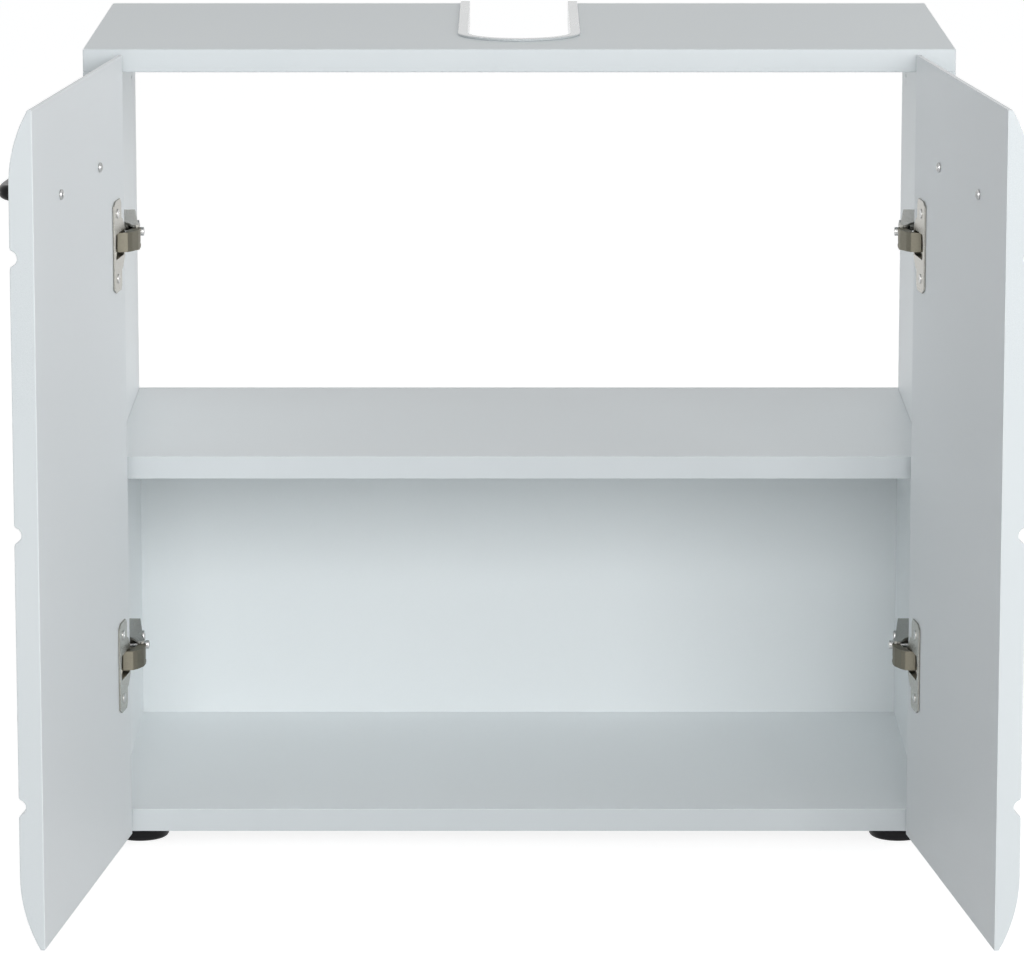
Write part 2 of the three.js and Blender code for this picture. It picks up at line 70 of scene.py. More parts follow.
slotOf = {part["node"]: part["material_slot"] for part in frame["record"]["subparts"]}
jointAt = {joint["name"]: Vector(joint["pos_m"]) for joint in frame["joints"]}
hands = {"left": -1, "right": 1}
levels = ("lower", "upper")

# Camera
view = {
    "place": (-0.00503, -3.74187, 1.01195),
    "pitch": 10.624,         # degrees down
    "lens": 192.69,
    "sensor": 36.0,
    "rise": -0.06,           # shift that centres the cabinet in the frame
    "far": 100,
}


def makeCamera():
    data = bpy.data.cameras.new("viewCamera")
    data.lens = view["lens"]
    data.sensor_width = view["sensor"]
    data.sensor_fit = "HORIZONTAL"
    data.shift_y = view["rise"]
    data.clip_end = view["far"]
    camera = bpy.data.objects.new("viewCamera", data)
    camera.location = view["place"]
    camera.rotation_euler = (math.radians(90 - view["pitch"]), 0, 0)
    bpy.context.scene.collection.objects.link(camera)
    bpy.context.scene.camera = camera


makeCamera()
print("camera in place")

# Light and floor
studio = {
    "skyLow": 0.69,          # what the sky gives to surfaces, near the floor
    "skyHigh": 0.20,         # and straight above
    "skyColour": (0.97, 0.985, 1),
    "skySeen": 1.0,          # what the eye and mirrors see
    "floorGlow": 0.84,
    "floorTone": 0.42,
    "floorSize": 40.0,
}
lamps = {
    "front": {"at": (0.5, -4.2, 1.45), "aim": (0, 0, 0.3), "size": (2.6, 1.6), "watts": 108},
    "keyRight": {"at": (2.4, -2.4, 1.3), "aim": (0, 0, 0.3), "size": (1.6, 1.6), "watts": 18},
    "rearLeft": {"at": (-3.0, 2.0, 0.25), "aim": (0, 0.2, 0.25), "size": (1.0, 0.4), "watts": 9},
    "rearRight": {"at": (3.0, 2.0, 0.25), "aim": (0, 0.2, 0.25), "size": (1.0, 0.4), "watts": 9},
}


def whiteWhenSeen(tree):
    path = tree.nodes.new("ShaderNodeLightPath")
    first = tree.nodes.new("ShaderNodeMath")
    first.operation = "MAXIMUM"
    tree.links.new(path.outputs["Is Camera Ray"], first.inputs[0])
    tree.links.new(path.outputs["Is Glossy Ray"], first.inputs[1])
    second = tree.nodes.new("ShaderNodeMath")
    second.operation = "MAXIMUM"
    tree.links.new(first.outputs[0], second.inputs[0])
    tree.links.new(path.outputs["Is Transmission Ray"], second.inputs[1])
    return second.outputs[0]


def makeWorld():
    world = bpy.data.worlds.new("studioSky")
    bpy.context.scene.world = world
    world.use_nodes = True
    tree = world.node_tree
    tree.nodes.clear()
    out = tree.nodes.new("ShaderNodeOutputWorld")
    dim = tree.nodes.new("ShaderNodeBackground")
    dim.inputs["Color"].default_value = (*studio["skyColour"], 1)
    way = tree.nodes.new("ShaderNodeSeparateXYZ")
    tree.links.new(tree.nodes.new("ShaderNodeTexCoord").outputs["Generated"], way.inputs[0])
    height = tree.nodes.new("ShaderNodeMapRange")
    height.inputs["To Min"].default_value = studio["skyLow"]
    height.inputs["To Max"].default_value = studio["skyHigh"]
    tree.links.new(way.outputs["Z"], height.inputs["Value"])
    tree.links.new(height.outputs["Result"], dim.inputs["Strength"])
    bright = tree.nodes.new("ShaderNodeBackground")
    bright.inputs["Color"].default_value = (1, 1, 1, 1)
    bright.inputs["Strength"].default_value = studio["skySeen"]
    mix = tree.nodes.new("ShaderNodeMixShader")
    tree.links.new(whiteWhenSeen(tree), mix.inputs["Fac"])
    tree.links.new(dim.outputs[0], mix.inputs[1])
    tree.links.new(bright.outputs[0], mix.inputs[2])
    tree.links.new(mix.outputs[0], out.inputs["Surface"])


def makeFloor():
    half = studio["floorSize"] / 2
    mesh = bpy.data.meshes.new("studioFloor")
    mesh.from_pydata([(-half, -half, 0), (half, -half, 0), (half, half, 0), (-half, half, 0)],
                     [], [(0, 1, 2, 3)])
    floor = bpy.data.objects.new("studioFloor", mesh)
    bpy.context.scene.collection.objects.link(floor)
    material = bpy.data.materials.new("studioFloorPaint")
    material.use_nodes = True
    tree = material.node_tree
    tree.nodes.clear()
    out = tree.nodes.new("ShaderNodeOutputMaterial")
    matt = tree.nodes.new("ShaderNodeBsdfDiffuse")
    tone = studio["floorTone"]
    matt.inputs["Color"].default_value = (tone, tone, tone, 1)
    glow = tree.nodes.new("ShaderNodeEmission")
    strength = tree.nodes.new("ShaderNodeMath")
    strength.operation = "MULTIPLY"
    strength.inputs[1].default_value = studio["floorGlow"]
    tree.links.new(whiteWhenSeen(tree), strength.inputs[0])
    tree.links.new(strength.outputs[0], glow.inputs["Strength"])
    both = tree.nodes.new("ShaderNodeAddShader")
    tree.links.new(matt.outputs[0], both.inputs[0])
    tree.links.new(glow.outputs[0], both.inputs[1])
    tree.links.new(both.outputs[0], out.inputs["Surface"])
    mesh.materials.append(material)


def makeLamps():
    for name, lamp in lamps.items():
        data = bpy.data.lights.new(name, "AREA")
        data.shape = "RECTANGLE"
        data.size, data.size_y = lamp["size"]
        data.energy = lamp["watts"]
        light = bpy.data.objects.new(name, data)
        light.location = lamp["at"]
        way = Vector(lamp["aim"]) - Vector(lamp["at"])
        light.rotation_euler = way.to_track_quat("-Z", "Y").to_euler()
        bpy.context.scene.collection.objects.link(light)


makeWorld()
makeFloor()
makeLamps()
print("studio in place")


# Shader effects shared by several materials
def startGroup(name, inputs, outputs):
    group = bpy.data.node_groups.new(name, "ShaderNodeTree")
    for label, kind, value in inputs:
        socket = group.interface.new_socket(label, in_out="INPUT", socket_type=kind)
        socket.default_value = value
    for label, kind in outputs:
        group.interface.new_socket(label, in_out="OUTPUT", socket_type=kind)
    start = group.nodes.new("NodeGroupInput")
    end = group.nodes.new("NodeGroupOutput")
    return group, start, end


def addMath(tree, operation, a, b):
    node = tree.nodes.new("ShaderNodeMath")
    node.operation = operation
    for socket, value in zip(node.inputs, (a, b)):
        if isinstance(value, (int, float)):
            socket.default_value = value
        else:
            tree.links.new(value, socket)
    return node.outputs[0]


def addNoise(tree, coords, scale, detail=2.0, rough=0.5):
    node = tree.nodes.new("ShaderNodeTexNoise")
    node.inputs["Detail"].default_value = detail
    node.inputs["Roughness"].default_value = rough
    tree.links.new(coords, node.inputs["Vector"])
    if isinstance(scale, (int, float)):
        node.inputs["Scale"].default_value = scale
    else:
        tree.links.new(scale, node.inputs["Scale"])
    return node.outputs["Fac"]


def makeSoftTone():
    # Slow changes of tone over a board, and fine specks over them, as a mask round 0.5
    group, start, end = startGroup(
        "softTone",
        [("Broad", "NodeSocketFloat", 5.0), ("Fine", "NodeSocketFloat", 900.0),
         ("Fine Share", "NodeSocketFloat", 0.3)],
        [("Mask", "NodeSocketFloat"), ("Height", "NodeSocketFloat")])
    coords = group.nodes.new("ShaderNodeTexCoord").outputs["Object"]
    broad = addNoise(group, coords, start.outputs["Broad"], 3.0)
    fine = addNoise(group, coords, start.outputs["Fine"], 1.0)
    share = addMath(group, "MULTIPLY", fine, start.outputs["Fine Share"])
    rest = addMath(group, "SUBTRACT", 1.0, start.outputs["Fine Share"])
    base = addMath(group, "MULTIPLY", broad, rest)
    group.links.new(addMath(group, "ADD", base, share), end.inputs["Mask"])
    group.links.new(fine, end.inputs["Height"])
    return group


def makeGrain():
    # Long fibres or brush lines along one axis
    group, start, end = startGroup(
        "grainLines",
        [("Stretch", "NodeSocketVector", (1, 40, 40)), ("Scale", "NodeSocketFloat", 60.0)],
        [("Mask", "NodeSocketFloat")])
    coords = group.nodes.new("ShaderNodeTexCoord").outputs["Object"]
    scaled = group.nodes.new("ShaderNodeVectorMath")
    scaled.operation = "MULTIPLY"
    group.links.new(coords, scaled.inputs[0])
    group.links.new(start.outputs["Stretch"], scaled.inputs[1])
    lines = addNoise(group, scaled.outputs[0], start.outputs["Scale"], 3.0, 0.6)
    group.links.new(lines, end.inputs["Mask"])
    return group


softTone = makeSoftTone()
grainLines = makeGrain()


def placeGroup(tree, group, values):
    node = tree.nodes.new("ShaderNodeGroup")
    node.node_tree = group
    for label, value in values.items():
        node.inputs[label].default_value = value
    return node


def mixColour(tree, mask, low, high):
    ramp = tree.nodes.new("ShaderNodeMix")
    ramp.data_type = "RGBA"
    ramp.inputs["A"].default_value = (*low, 1)
    ramp.inputs["B"].default_value = (*high, 1)
    tree.links.new(mask, ramp.inputs["Factor"])
    return ramp.outputs["Result"]


maskSpan = (0.3, 0.7)        # where most of a noise mask lies


def mapRange(tree, value, low, high):
    node = tree.nodes.new("ShaderNodeMapRange")
    node.inputs["From Min"].default_value = maskSpan[0]
    node.inputs["From Max"].default_value = maskSpan[1]
    node.inputs["To Min"].default_value = low
    node.inputs["To Max"].default_value = high
    tree.links.new(value, node.inputs["Value"])
    return node.outputs["Result"]


def makeFinish(name, finish):
    material = bpy.data.materials.new(name)
    material.use_nodes = True
    tree = material.node_tree
    shader = tree.nodes["Principled BSDF"]
    if "stretch" in finish:
        effect = placeGroup(tree, grainLines, {"Stretch": finish["stretch"],
                                               "Scale": finish["fine"]})
        height = effect.outputs["Mask"]
    else:
        effect = placeGroup(tree, softTone, {"Broad": finish["broad"], "Fine": finish["fine"],
                                             "Fine Share": finish["share"]})
        height = effect.outputs["Height"]
    mask = effect.outputs["Mask"]
    clear = mapRange(tree, mask, 0.0, 1.0)
    tree.links.new(mixColour(tree, clear, finish["dark"], finish["light"]),
                   shader.inputs["Base Color"])
    tree.links.new(mapRange(tree, mask, finish["rough"][0], finish["rough"][1]),
                   shader.inputs["Roughness"])
    bump = tree.nodes.new("ShaderNodeBump")
    bump.inputs["Strength"].default_value = finish["bump"]
    bump.inputs["Distance"].default_value = finish["bumpDepth"]
    tree.links.new(height, bump.inputs["Height"])
    tree.links.new(bump.outputs["Normal"], shader.inputs["Normal"])
    shader.inputs["Metallic"].default_value = finish.get("metal", 0.0)
    shader.inputs["Coat Weight"].default_value = finish.get("coat", 0.0)
    shader.inputs["Coat Roughness"].default_value = finish.get("coatRough", 0.1)
    shader.inputs["IOR"].default_value = finish.get("ior", 1.5)
    return material


finishes = {
    "laminate": {"dark": (0.885, 0.918, 0.93), "light": (0.90, 0.931, 0.942), "broad": 4.0,
                 "fine": 2600.0, "share": 0.35, "rough": (0.42, 0.48), "bump": 0.02,
                 "bumpDepth": 0.0001, "ior": 1.42},
    # Top panel: the boards' white laminate painted darker, painted shade for how the light falls on
    # the top
    "laminateTopPaintedShade": {"dark": (0.79, 0.84, 0.853), "light": (0.81, 0.857, 0.87), "broad": 4.0,
                "fine": 2600.0, "share": 0.35, "rough": (0.40, 0.46), "bump": 0.02,
                "bumpDepth": 0.0001},
    # Front edge bands: darker than the boards' white, painted shade for how the light falls on the
    # edges
    "edgeBandPaintedShade": {"dark": (0.60, 0.642, 0.66), "light": (0.62, 0.66, 0.677), "broad": 9.0,
                 "fine": 2800.0, "share": 0.2, "rough": (0.30, 0.36), "bump": 0.015,
                 "bumpDepth": 0.0001},
    "doorBack": {"dark": (0.85, 0.885, 0.90), "light": (0.87, 0.90, 0.915), "broad": 3.0,
                 "fine": 2400.0, "share": 0.3, "rough": (0.50, 0.56), "bump": 0.015,
                 "bumpDepth": 0.0001, "ior": 1.38},
    # Door fronts and edges: darker than the boards' white, painted shade for how the light falls on
    # them
    "frontFoilPaintedShade": {"dark": (0.66, 0.705, 0.722), "light": (0.68, 0.722, 0.738), "broad": 3.0,
                  "fine": 2400.0, "share": 0.3, "rough": (0.26, 0.31), "bump": 0.015,
                  "bumpDepth": 0.0001, "coat": 0.2, "coatRough": 0.18},
    "hardboard": {"dark": (0.73, 0.77, 0.783), "light": (0.75, 0.787, 0.798), "broad": 6.0,
                  "fine": 1500.0, "share": 0.5, "rough": (0.45, 0.55), "bump": 0.03,
                  "bumpDepth": 0.0001},
    "blackPlastic": {"dark": (0.010, 0.010, 0.011), "light": (0.020, 0.020, 0.022),
                     "broad": 30.0, "fine": 1600.0, "share": 0.6, "rough": (0.32, 0.45),
                     "bump": 0.15, "bumpDepth": 0.0002, "ior": 1.22},
    "blackLacquer": {"dark": (0.008, 0.008, 0.009), "light": (0.014, 0.014, 0.015),
                     "broad": 20.0, "fine": 1500.0, "share": 0.4, "rough": (0.26, 0.34),
                     "bump": 0.06, "bumpDepth": 0.0001, "ior": 1.22},
    "trimPlastic": {"dark": (0.45, 0.485, 0.495), "light": (0.49, 0.52, 0.53), "broad": 12.0,
                    "fine": 900.0, "share": 0.2, "rough": (0.14, 0.2), "bump": 0.02,
                    "bumpDepth": 0.0001, "coat": 0.4, "coatRough": 0.06},
    "camPlastic": {"dark": (0.85, 0.88, 0.89), "light": (0.87, 0.895, 0.905), "broad": 12.0,
                   "fine": 900.0, "share": 0.2, "rough": (0.46, 0.54), "bump": 0.02,
                   "bumpDepth": 0.0001, "ior": 1.4},
    "nickel": {"dark": (0.36, 0.35, 0.315), "light": (0.48, 0.47, 0.43), "fine": 35.0,
               "stretch": (60, 6, 60), "rough": (0.24, 0.38), "bump": 0.08,
               "bumpDepth": 0.0001, "metal": 1.0},
    "linkNickel": {"dark": (0.17, 0.16, 0.125), "light": (0.24, 0.225, 0.18), "fine": 35.0,
                   "stretch": (60, 6, 60), "rough": (0.52, 0.62), "bump": 0.06,
                   "bumpDepth": 0.0001, "metal": 1.0},
    "zinc": {"dark": (0.46, 0.46, 0.455), "light": (0.62, 0.62, 0.615), "broad": 60.0,
             "fine": 1200.0, "share": 0.5, "rough": (0.24, 0.38), "bump": 0.1,
             "bumpDepth": 0.0001, "metal": 1.0},
}
paints = {name: makeFinish(name, finish) for name, finish in finishes.items()}
# the door fronts (white_front) get a darker copy of the white: painted shade
paintOfSlot = {
    "white_board": "laminate", "white_front": "frontFoilPaintedShade", "hardboard": "hardboard",
    "black_plastic": "blackPlastic", "black_metal": "blackLacquer",
    "white_plastic": "trimPlastic", "nickel": "nickel", "zinc": "zinc",
}
print("materials made")


# Mesh helpers
def bodyOf(node):
    return nodes[node]["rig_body"]


def finishPiece(piece, body, standsFor=()):
    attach(piece, body)
    if standsFor:
        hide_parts(*standsFor)
    return piece


def newPiece(name, bm, materials, smoothAngle=32):
    mesh = bpy.data.meshes.new(name)
    bm.normal_update()
    bm.to_mesh(mesh)
    bm.free()
    for material in materials:
        mesh.materials.append(material)
    mesh.polygons.foreach_set("use_smooth", [True] * len(mesh.polygons))
    mesh.set_sharp_from_angle(angle=math.radians(smoothAngle))
    piece = bpy.data.objects.new(name, mesh)
    bpy.context.scene.collection.objects.link(piece)
    weights = piece.modifiers.new("evenShading", "WEIGHTED_NORMAL")
    weights.keep_sharp = True
    return piece


softening = {"weld": 0.002, "flat": 0.7, "bandFacing": 0.99, "bandDepth": 0.3}


def softened(node, radius, segments=2, angle=35, paint=None, band=None, bandPaint="edgeBandPaintedShade"):
    # The CAD solid with its edges rounded; its outermost faces along band get their own paint
    bm = bmesh.new()
    bm.from_mesh(nodes[node].data)
    bmesh.ops.remove_doubles(bm, verts=bm.verts, dist=softening["weld"] * mm)
    bmesh.ops.dissolve_limit(bm, angle_limit=math.radians(softening["flat"]),
                             verts=bm.verts, edges=bm.edges)
    if band:
        way = Vector(band)
        least = max(vert.co.dot(way) for vert in bm.verts) - softening["bandDepth"] * mm
        for face in bm.faces:
            outward = face.normal.dot(way) > softening["bandFacing"]
            if outward and face.calc_center_median().dot(way) > least:
                face.material_index = 1
    sharp = [edge for edge in bm.edges
             if len(edge.link_faces) == 2 and edge.calc_face_angle(0) > math.radians(angle)]
    bmesh.ops.bevel(bm, geom=sharp, offset=radius, segments=segments, profile=0.5,
                    affect="EDGES", clamp_overlap=True, material=-1)
    materials = [paints[paint or paintOfSlot[slotOf[node]]]]
    if band:
        materials.append(paints[bandPaint])
    piece = newPiece(node + "_finished", bm, materials)
    return finishPiece(piece, bodyOf(node), [node])


def turned(profile, segments=48):
    # Closed surface of revolution round +Z; profile holds (radius, height) from axis to axis
    bm = bmesh.new()
    rings = []
    for radius, height in profile:
        if radius < 1e-9:
            rings.append([bm.verts.new((0, 0, height))])
        else:
            rings.append([bm.verts.new((radius * math.cos(2 * math.pi * k / segments),
                                        radius * math.sin(2 * math.pi * k / segments), height))
                          for k in range(segments)])
    for first, second in zip(rings, rings[1:]):
        for k in range(segments):
            n = (k + 1) % segments
            if len(first) == 1 and len(second) > 1:
                bm.faces.new((first[0], second[n], second[k]))
            elif len(second) == 1 and len(first) > 1:
                bm.faces.new((first[k], first[n], second[0]))
            elif len(first) > 1:
                bm.faces.new((first[k], first[n], second[n], second[k]))
    bmesh.ops.recalc_face_normals(bm, faces=bm.faces)
    return bm


def facing(at, way, roll=0.0):
    # Matrix that stands +Z along way, at a point
    quat = Vector(way).normalized().to_track_quat("Z", "Y")
    return Matrix.Translation(Vector(at)) @ quat.to_matrix().to_4x4() @ Matrix.Rotation(roll, 4, "Z")


def gathered(template, places):
    bm = bmesh.new()
    for place in places:
        copy = template.copy()
        copy.transform(place)
        bm.from_mesh(copy)
        bpy.data.meshes.remove(copy)
    return bm


# Screws with a cross recess
crossShape = {"steps": 8, "sides": 40, "dome": 0.86, "rim": [(0.96, 1.25), (1, 1.9)],
              "thin": 0.24, "foot": 0.45, "over": 0.3}


def crossHead(screw):
    # Domed head with an optional shank, cut by two tapering blades
    radius, height, crown = screw["headR"] * mm, screw["head"] * mm, screw["crown"] * mm
    recess, depth, over = screw["recess"] * mm, screw["depth"] * mm, crossShape["over"] * mm
    profile = [(0, height)]
    for k in range(1, crossShape["steps"] + 1):
        a = k / crossShape["steps"]
        profile.append((radius * crossShape["dome"] * a, height - crown * a * a))
    profile += [(radius * out, height - crown * down) for out, down in crossShape["rim"]]
    profile.append((radius, 0))
    if "shank" in screw:
        profile += [(screw["shankR"] * mm, 0), (screw["shankR"] * mm, -screw["shank"] * mm)]
    profile.append((0, profile[-1][1]))
    bm = turned(profile, crossShape["sides"])
    mesh = bpy.data.meshes.new("screwHead")
    bm.to_mesh(mesh)
    bm.free()
    head = bpy.data.objects.new("screwHead", mesh)
    cutter = bmesh.new()
    for turn in (0, math.pi / 2):
        made = bmesh.ops.create_cube(cutter, size=1)
        bmesh.ops.transform(cutter, verts=made["verts"], matrix=(
            Matrix.Rotation(turn, 4, "Z")
            @ Matrix.Translation((0, 0, height - depth / 2 + over))
            @ Matrix.Diagonal((2 * recess, 2 * recess * crossShape["thin"], depth + 2 * over, 1))))
        for vert in made["verts"]:
            if vert.co.z < height - depth / 2:
                vert.co.x *= crossShape["foot"]
                vert.co.y *= crossShape["foot"]
    knife = bpy.data.meshes.new("screwRecess")
    cutter.to_mesh(knife)
    cutter.free()
    blade = bpy.data.objects.new("screwRecess", knife)
    for thing in (head, blade):
        bpy.context.scene.collection.objects.link(thing)
    cut = head.modifiers.new("recess", "BOOLEAN")
    cut.operation = "DIFFERENCE"
    cut.solver = "EXACT"
    cut.use_self = True
    cut.object = blade
    bpy.context.view_layer.update()
    done = bpy.data.meshes.new_from_object(head.evaluated_get(bpy.context.evaluated_depsgraph_get()))
    bpy.data.objects.remove(head)
    bpy.data.objects.remove(blade)
    return done


# Boards
boards = {
    # the top gets the darker copy of the laminate: painted shade
    "top_panel": {"round": 0.8, "paint": "laminateTopPaintedShade"},
    "left_side_panel": {"round": 0.5, "paint": "laminate"},
    "right_side_panel": {"round": 0.5, "paint": "laminate"},
    "bottom_panel": {"round": 0.5, "paint": "laminate"},
    "shelf": {"round": 0.5, "paint": "laminate"},
}
trim = {"round": 0.5, "segments": 3}
for node, board in boards.items():
    # the front edges take the darker edge band paint: painted shade
    softened(node, board["round"] * mm, paint=board["paint"], band=(0, -1, 0))
softened("cutout_trim", trim["round"] * mm, trim["segments"])
print("boards finished")

# Back and its nails
back = {"round": 0.3, "sink": 0.15, "rows": 3}
nail = {"spacing": 84, "inset": 8, "headR": 1.9, "flat": 0.8, "rise": 0.15, "rim": 0.4, "stub": 0.4,
        "sides": 20}


def makeBack():
    low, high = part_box("back_panel")
    piece = softened("back_panel", back["round"] * mm)
    for vert in piece.data.vertices:
        if vert.co.y > (low.y + high.y) / 2:     # room for the nail heads
            vert.co.y -= back["sink"] * mm
    inset = nail["inset"] * mm
    spots = []
    across = round((high.x - low.x) / (nail["spacing"] * mm))
    for k in range(across + 1):
        x = low.x + inset + (high.x - low.x - 2 * inset) * k / across
        spots += [(x, low.z + inset), (x, high.z - inset)]
    for k in range(1, back["rows"]):
        z = low.z + (high.z - low.z) * k / back["rows"]
        spots += [(low.x + inset, z), (high.x - inset, z)]
    rise, stub, r = nail["rise"] * mm, nail["stub"] * mm, nail["headR"] * mm
    bm = turned([(0, rise), (r * nail["flat"], rise), (r, rise * nail["rim"]), (r, -stub), (0, -stub)],
                nail["sides"])
    head = bpy.data.meshes.new("nailHead")
    bm.to_mesh(head)
    bm.free()
    rear = high.y - back["sink"] * mm
    nails = newPiece("back_nails", gathered(
        head, [facing((x, rear, z), (0, 1, 0)) for x, z in spots]), [paints["zinc"]])
    finishPiece(nails, bodyOf("back_panel"))


makeBack()
print("back finished")

# Feet
feet = {
    "topR": 23, "bottomR": 20, "height": 16, "sides": 72,
    "recessR": 5, "recess": 9, "recessEase": 0.5, "roll": 3, "rollSteps": 8,
    "waist": (0.9, 7),       # out from the bottom radius, and height
    "collar": [(1.1, 3.4), (0.8, 2.6), (0.2, 2.1), (0, 1.6), (0, 0.3), (0.3, 0)],  # in, and down
}
footScrew = {"headR": 4.2, "head": 2.4, "crown": 0.8, "recess": 2.4, "depth": 1.4, "turn": 0.4}


def makeFoot(node):
    low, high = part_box(node)
    middle = (low + high) / 2
    hole, ease, roll = feet["recessR"], feet["recessEase"], feet["roll"]
    profile = [(0, feet["recess"]), (hole, feet["recess"]), (hole, ease), (hole + ease, 0),
               (feet["bottomR"] - roll, 0)]
    for k in range(1, feet["rollSteps"] + 1):
        a = math.pi / 2 * k / feet["rollSteps"]
        profile.append((feet["bottomR"] - roll + roll * math.sin(a), roll - roll * math.cos(a)))
    profile.append((feet["bottomR"] + feet["waist"][0], feet["waist"][1]))
    profile += [(feet["topR"] - inward, feet["height"] - down) for inward, down in feet["collar"]]
    profile.append((0, feet["height"]))
    bm = turned([(r * mm, z * mm) for r, z in profile], feet["sides"])
    bm.transform(Matrix.Translation((middle.x, middle.y, 0)))
    piece = newPiece(node + "_finished", bm, [paints["blackPlastic"]])
    finishPiece(piece, bodyOf(node), [node])
    return middle


footPlaces = [makeFoot(node) for node in nodes if node.startswith("foot_")]
footScrews = newPiece("foot_screws", gathered(crossHead(footScrew), [
    facing((at.x, at.y, feet["recess"] * mm), (0, 0, -1), footScrew["turn"] + k)
    for k, at in enumerate(footPlaces)]), [paints["zinc"]])
finishPiece(footScrews, "carcass")
print("feet finished")

# Doors
door = {"width": 297, "thick": 16, "angle": 97.1, "pinU": 10.45, "pinV": 4.15, "round": 0.9,
        "segments": 3, "sharp": 40}
doorLow, doorHigh = (corner.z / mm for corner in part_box("right_door"))


def doorPoint(side, u, v, z):
    # u from the hinged edge, v into the door, as it stands open; millimetres in, metres out
    a = math.radians(door["angle"] - 90)
    pin = jointAt["right_door_swing"] / mm
    u -= door["pinU"]
    v -= door["pinV"]
    x = pin.x + math.sin(a) * u + math.cos(a) * v
    y = pin.y - math.cos(a) * u + math.sin(a) * v
    return Vector((side * x, y, z)) * mm


def doorWay(side, u, v):
    return doorPoint(side, u, v, 0) - doorPoint(side, 0, 0, 0)


for hand, side in hands.items():
    # fronts and edges take the darker front paint, which is painted shade; the inner faces take
    # doorBack
    softened(hand + "_door", door["round"] * mm, door["segments"], door["sharp"],
             band=doorWay(side, 0, -1).normalized(), bandPaint="doorBack")
print("doors finished")

# Handles
bow = {"span": 128, "drop": 66, "reach": 29, "tall": 13.5, "taper": 0.36, "thick": 9, "stem": 6,
       "shoulder": 18, "crown": 0.6, "sides": 40, "steps": 12, "stand": 0.3}


def bowPath():
    # (along, out) of the bar's centre: a smooth curve through nine points, foot to foot
    half = bow["span"] / 2
    out = bow["reach"] - bow["thick"] / 2
    quarter = bow["shoulder"] / 4
    rising = [(-half, 0), (-half, bow["stem"]), (-half + quarter, out - quarter),
              (-half + bow["shoulder"], out - bow["crown"])]
    knots = rising + [(0, out)] + [(-x, y) for x, y in reversed(rising)]
    knots = [Vector(knot) for knot in knots]
    knots = [2 * knots[0] - knots[1]] + knots + [2 * knots[-1] - knots[-2]]
    points = []
    for p0, p1, p2, p3 in zip(knots, knots[1:], knots[2:], knots[3:]):
        gaps = [max((b - a).length, 1e-6) ** 0.5 for a, b in ((p0, p1), (p1, p2), (p2, p3))]
        t1 = ((p1 - p0) / gaps[0] - (p2 - p0) / (gaps[0] + gaps[1]) + (p2 - p1) / gaps[1]) * gaps[1]
        t2 = ((p2 - p1) / gaps[1] - (p3 - p1) / (gaps[1] + gaps[2]) + (p3 - p2) / gaps[2]) * gaps[1]
        for k in range(bow["steps"]):
            t = k / bow["steps"]
            points.append((2 * t ** 3 - 3 * t ** 2 + 1) * p1 + (t ** 3 - 2 * t ** 2 + t) * t1
                          + (3 * t ** 2 - 2 * t ** 3) * p2 + (t ** 3 - t ** 2) * t2)
    return points + [knots[-2]]


def makeHandle(hand, side):
    z = doorHigh - bow["drop"]
    middle = door["width"] / 2
    base = door["thick"] + bow["stand"]
    points = bowPath()
    bm = bmesh.new()
    rings = []
    for k, (along, out) in enumerate(points):
        slope = (points[min(k + 1, len(points) - 1)] - points[max(k - 1, 0)]).normalized()
        if k in (0, len(points) - 1):
            slope = Vector((0, 1 if k == 0 else -1))
        ring = []
        for s in range(bow["sides"]):
            a = 2 * math.pi * s / bow["sides"]
            flat = bow["thick"] / 2 * math.cos(a)
            rise = min(max((out + slope.x * flat) / bow["reach"], 0), 1)
            up = bow["tall"] / 2 * math.sin(a) * (1 - bow["taper"] * rise)
            ring.append(bm.verts.new(doorPoint(
                side, middle + along - slope.y * flat, base + out + slope.x * flat, z + up)))
        rings.append(ring)
    for first, second in zip(rings, rings[1:]):
        for s in range(bow["sides"]):
            n = (s + 1) % bow["sides"]
            bm.faces.new((first[s], first[n], second[n], second[s]))
    bm.faces.new(rings[0])
    bm.faces.new(rings[-1])
    bmesh.ops.recalc_face_normals(bm, faces=bm.faces)
    node = hand + "_handle"
    piece = newPiece(node + "_finished", bm, [paints["blackLacquer"]])
    finishPiece(piece, bodyOf(node), [node])


handleScrew = {"headR": 3.4, "head": 2.2, "crown": 0.8, "recess": 2.1, "depth": 1.4,
               "shankR": 2.0, "shank": 25, "stand": 0.3, "turn": 0.5}
panHead = crossHead(handleScrew)
for hand, side in hands.items():
    makeHandle(hand, side)
    for name, way in (("inner", -1), ("outer", 1)):
        node = f"{hand}_handle_screw_{name}"
        u = door["width"] / 2 + way * bow["span"] / 2
        at = doorPoint(side, u, -handleScrew["stand"], doorHigh - bow["drop"])
        screw = newPiece(node + "_finished", gathered(
            panHead, [facing(at, -doorWay(side, 0, 1), handleScrew["turn"] + way)]), [paints["zinc"]])
        finishPiece(screw, bodyOf(node), [node])
print("handles finished")

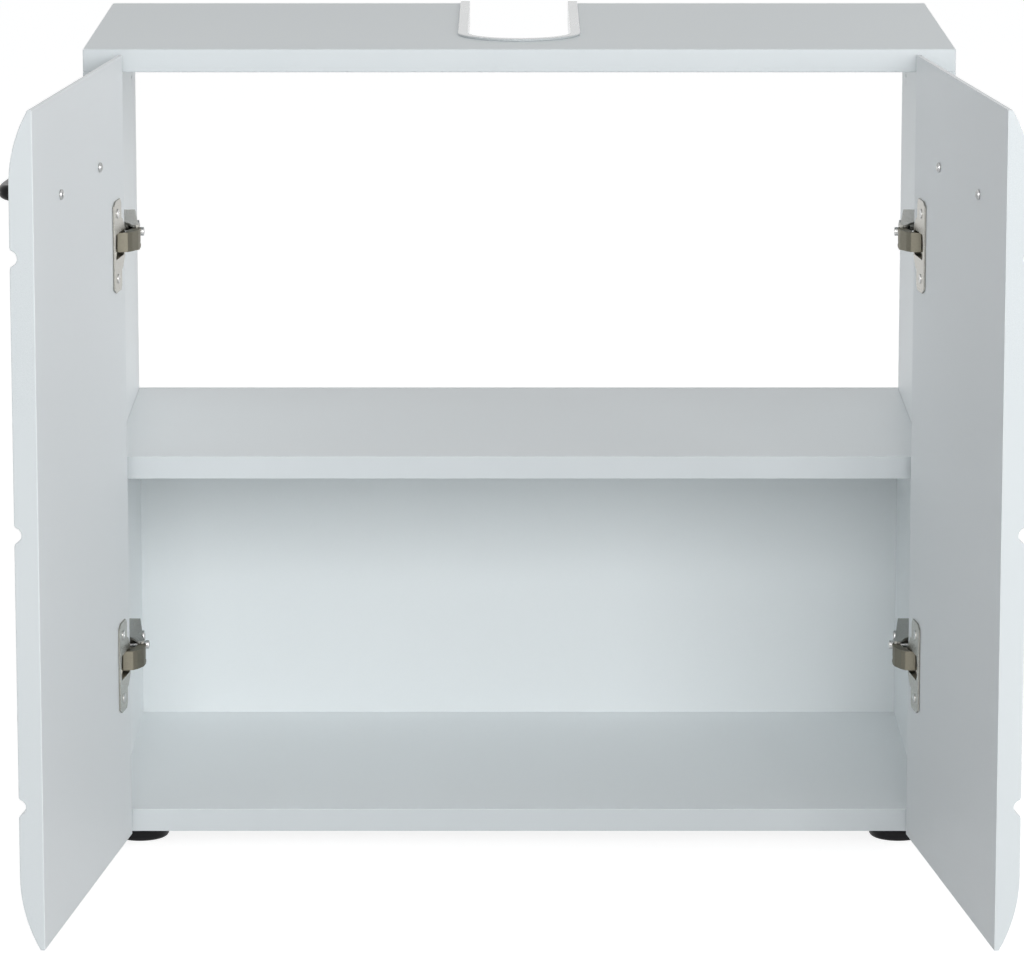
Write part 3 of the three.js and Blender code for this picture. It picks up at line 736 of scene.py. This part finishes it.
# Hinges
hinge = {"fromEnd": 128, "round": 0.25, "sharp": 38}
cupScrew = {"u": 30, "apart": 22.5, "seat": 1.4, "turn": 0.3}
plateScrew = {"y": 37, "apart": 16, "seat": 2.2, "turn": 0.8}
flatScrew = {"headR": 3.2, "head": 0.9, "crown": 0.3, "recess": 2.0, "depth": 0.9}
clampScrew = {"y": 57, "seat": 16, "headR": 4.0, "head": 2.2, "crown": 0.5, "recess": 2.5,
              "depth": 1.7, "shankR": 2.5, "shank": 13, "turn": 0.4}
adjuster = {"y": 30, "seat": 20.1, "headR": 3.0, "head": 3, "crown": 0.4, "recess": 2.0,
            "depth": 1.5, "shankR": 2.0, "shank": 15.9, "turn": 0.2}
flatHead, clampHead, adjusterHead = map(crossHead, (flatScrew, clampScrew, adjuster))
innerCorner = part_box("right_side_panel")[0] / mm     # its inner face and its front edge


def sidePoint(side, off, y, z):
    # off from the inner face of the side, y behind the front edge
    return Vector((side * (innerCorner.x - off), y + innerCorner.y, z)) * mm


def dressHinge(hand, side, level):
    base = f"{hand}_{level}_hinge_"
    z = doorLow + hinge["fromEnd"] if level == "lower" else doorHigh - hinge["fromEnd"]
    for part in ("cup", "link", "guide_link", "arm", "plate"):
        softened(base + part, hinge["round"] * mm, angle=hinge["sharp"],
                 paint="linkNickel" if part == "link" else None)
    cupScrews = newPiece(base + "cup_screws", gathered(flatHead, [
        facing(doorPoint(side, cupScrew["u"], -cupScrew["seat"], z + k * cupScrew["apart"]),
               -doorWay(side, 0, 1), cupScrew["turn"] + k) for k in (-1, 1)]), [paints["zinc"]])
    finishPiece(cupScrews, f"{hand}_door")
    inward = (-side, 0, 0)
    plateScrews = newPiece(base + "plate_screws", gathered(flatHead, [
        facing(sidePoint(side, plateScrew["seat"], plateScrew["y"], z + k * plateScrew["apart"]),
               inward, plateScrew["turn"] * k) for k in (-1, 1)]), [paints["zinc"]])
    finishPiece(plateScrews, "carcass")
    for node, head, screw in (("screw", clampHead, clampScrew), ("adjuster", adjusterHead, adjuster)):
        piece = newPiece(f"{base}{node}_finished", gathered(head, [
            facing(sidePoint(side, screw["seat"], screw["y"], z), inward, screw["turn"])]),
            [paints["zinc"]])
        finishPiece(piece, "carcass", [base + node])


for hand, side in hands.items():
    for level in levels:
        dressHinge(hand, side, level)
print("hinges finished")

# Hidden fittings keep their CAD shapes
for node, part in nodes.items():
    if part.hide_render:
        continue
    isCam = slotOf[node] == "white_plastic"      # the edging isn't left here
    paint = paints["camPlastic" if isCam else paintOfSlot[slotOf[node]]]
    for index in range(len(part.material_slots)):
        part.material_slots[index].material = paint
print("fittings painted")

scene = bpy.context.scene
scene.view_settings.view_transform = "Standard"
